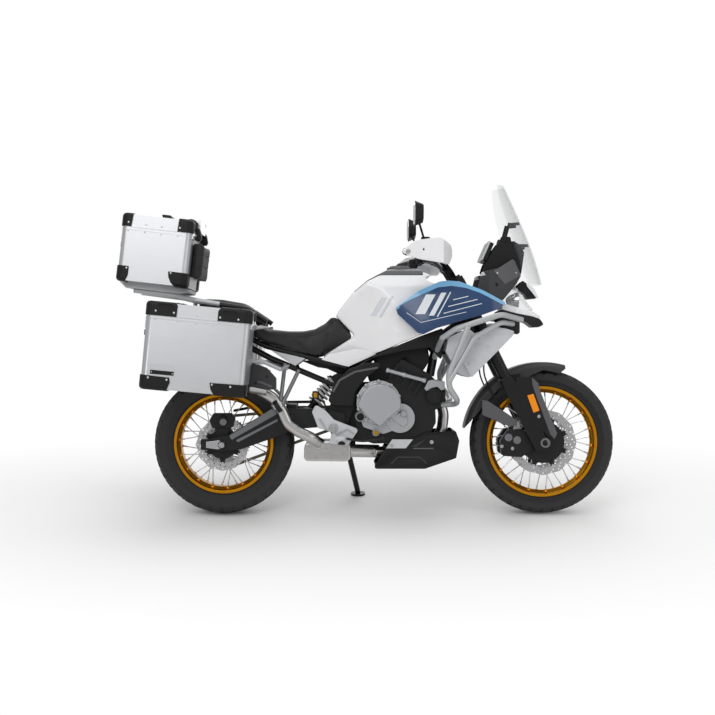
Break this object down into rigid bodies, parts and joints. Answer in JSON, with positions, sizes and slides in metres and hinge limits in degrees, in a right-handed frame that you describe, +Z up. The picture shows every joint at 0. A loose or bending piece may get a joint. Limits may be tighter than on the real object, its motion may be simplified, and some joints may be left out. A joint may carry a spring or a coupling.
{
  "type": "adventure motorcycle",
  "caption": "Adventure motorcycle with wire wheels, tall screen, crash bars and aluminium luggage cases, parked leaning on its side stand; steering, wheels, stand and case lids move.",
  "frame": {"origin": "on the floor, below the middle of the parked motorcycle's outline", "axes": "+X forward, +Y to the rider's left, +Z up; the machine leans 10 degrees to its left on the side stand"},
  "size_m": [2.2413, 1.0289, 1.4892],
  "materials": {
    "frame_steel": "black paint",
    "engine_silver": "cast, painted silver grey",
    "engine_black": "black paint",
    "exhaust_steel": "brushed",
    "dark_plastic": "fine grain",
    "grey_plastic": "satin dark grey",
    "white_paint": "gloss white",
    "navy_paint": "gloss navy blue",
    "silver_plastic": "satin silver",
    "seat_cover": "grained cover",
    "clear_screen": "clear",
    "lamp": "clear lens over chrome bowls",
    "display_face": "gloss black",
    "aluminium_sheet": "fine matt",
    "crash_steel": "silver paint",
    "disc_steel": "ground",
    "gold_rim": "gold anodised",
    "tyre": "rubber",
    "hub_black": "black paint",
    "chain_steel": "oiled"
  },
  "bodies": {
    "chassis": {"beak": "white_paint", "chain": "chain_steel", "crankcase": "engine_black", "crash_bars": "crash_steel", "dash_bracket": "dark_plastic", "display": "display_face", "engine_covers": "engine_silver", "engine_head": "engine_black", "exhaust": "exhaust_steel", "footrests": "silver_plastic", "frame": "frame_steel", "frame_covers": "dark_plastic", "fuel_tank": "white_paint", "headlight": "lamp", "hugger": "dark_plastic", "lower_beak": "dark_plastic", "muffler": "exhaust_steel", "muffler_cover": "grey_plastic", "nose_fairing": "grey_plastic", "rack": "crash_steel", "radiator": "engine_black", "radiator_covers": "silver_plastic", "rear_caliper": "engine_black", "rear_seat": "seat_cover", "rear_shock": "engine_black", "seat": "seat_cover", "side_case_left": "aluminium_sheet", "side_case_right": "aluminium_sheet", "side_panels": "navy_paint", "side_shrouds": "dark_plastic", "skid_plate": "grey_plastic", "swingarm": "engine_black", "tail_cover": "dark_plastic", "tail_lamp": "dark_plastic", "tank_trim": "grey_plastic", "top_case": "aluminium_sheet", "top_case_pad": "seat_cover", "windscreen": "clear_screen"},
    "steering": {"fork": "engine_black", "handlebar": "frame_steel", "handguards": "white_paint", "mirrors": "dark_plastic", "front_fender": "grey_plastic", "front_calipers": "engine_black"},
    "front_wheel": {"front_tyre": "tyre", "front_rim": "gold_rim", "front_hub": "hub_black", "front_discs": "disc_steel"},
    "rear_wheel": {"rear_tyre": "tyre", "rear_rim": "gold_rim", "rear_hub": "hub_black", "rear_disc": "disc_steel", "rear_sprocket": "disc_steel"},
    "side_stand": {"side_stand": "frame_steel"},
    "top_case_lid": {"top_case_lid": "aluminium_sheet"},
    "side_case_lid_right": {"side_case_lid_right": "aluminium_sheet"},
    "side_case_lid_left": {"side_case_lid_left": "aluminium_sheet"}
  },
  "joints": [
    {"name": "steering_turn", "type": "hinge", "parent": "chassis", "child": "steering", "pos_m": [0.43056, 0.01992, 0.91936], "axis": [-0.4384, 0.1561, 0.8851], "range_deg": [-38, 38]},
    {"name": "front_wheel_spin", "type": "hinge", "parent": "steering", "child": "front_wheel", "pos_m": [0.79135, -0.08476, 0.32567], "axis": [0, 0.9848, -0.1736], "continuous": true},
    {"name": "rear_wheel_spin", "type": "hinge", "parent": "chassis", "child": "rear_wheel", "pos_m": [-0.66165, -0.0862, 0.3175], "axis": [0, 0.9848, -0.1736], "continuous": true},
    {"name": "side_stand_fold", "type": "hinge", "parent": "chassis", "child": "side_stand", "pos_m": [-0.10165, 0.06277, 0.26107], "axis": [0, 0.9925, 0.1219], "range_deg": [0, 95]},
    {"name": "top_case_lid_hinge", "type": "hinge", "parent": "chassis", "child": "top_case_lid", "pos_m": [-0.77998, 0.07645, 1.23997], "axis": [0, 0.9848, -0.1736], "range_deg": [0, 75]},
    {"name": "side_case_lid_hinge_right", "type": "hinge", "parent": "chassis", "child": "side_case_lid_right", "pos_m": [-0.49629, -0.34752, 0.90003], "axis": [0, 0.9848, -0.1736], "range_deg": [0, 80]},
    {"name": "side_case_lid_hinge_left", "type": "hinge", "parent": "chassis", "child": "side_case_lid_left", "pos_m": [-0.49629, 0.35859, 0.77552], "axis": [0, 0.9848, -0.1736], "range_deg": [0, 80]}
  ]
}
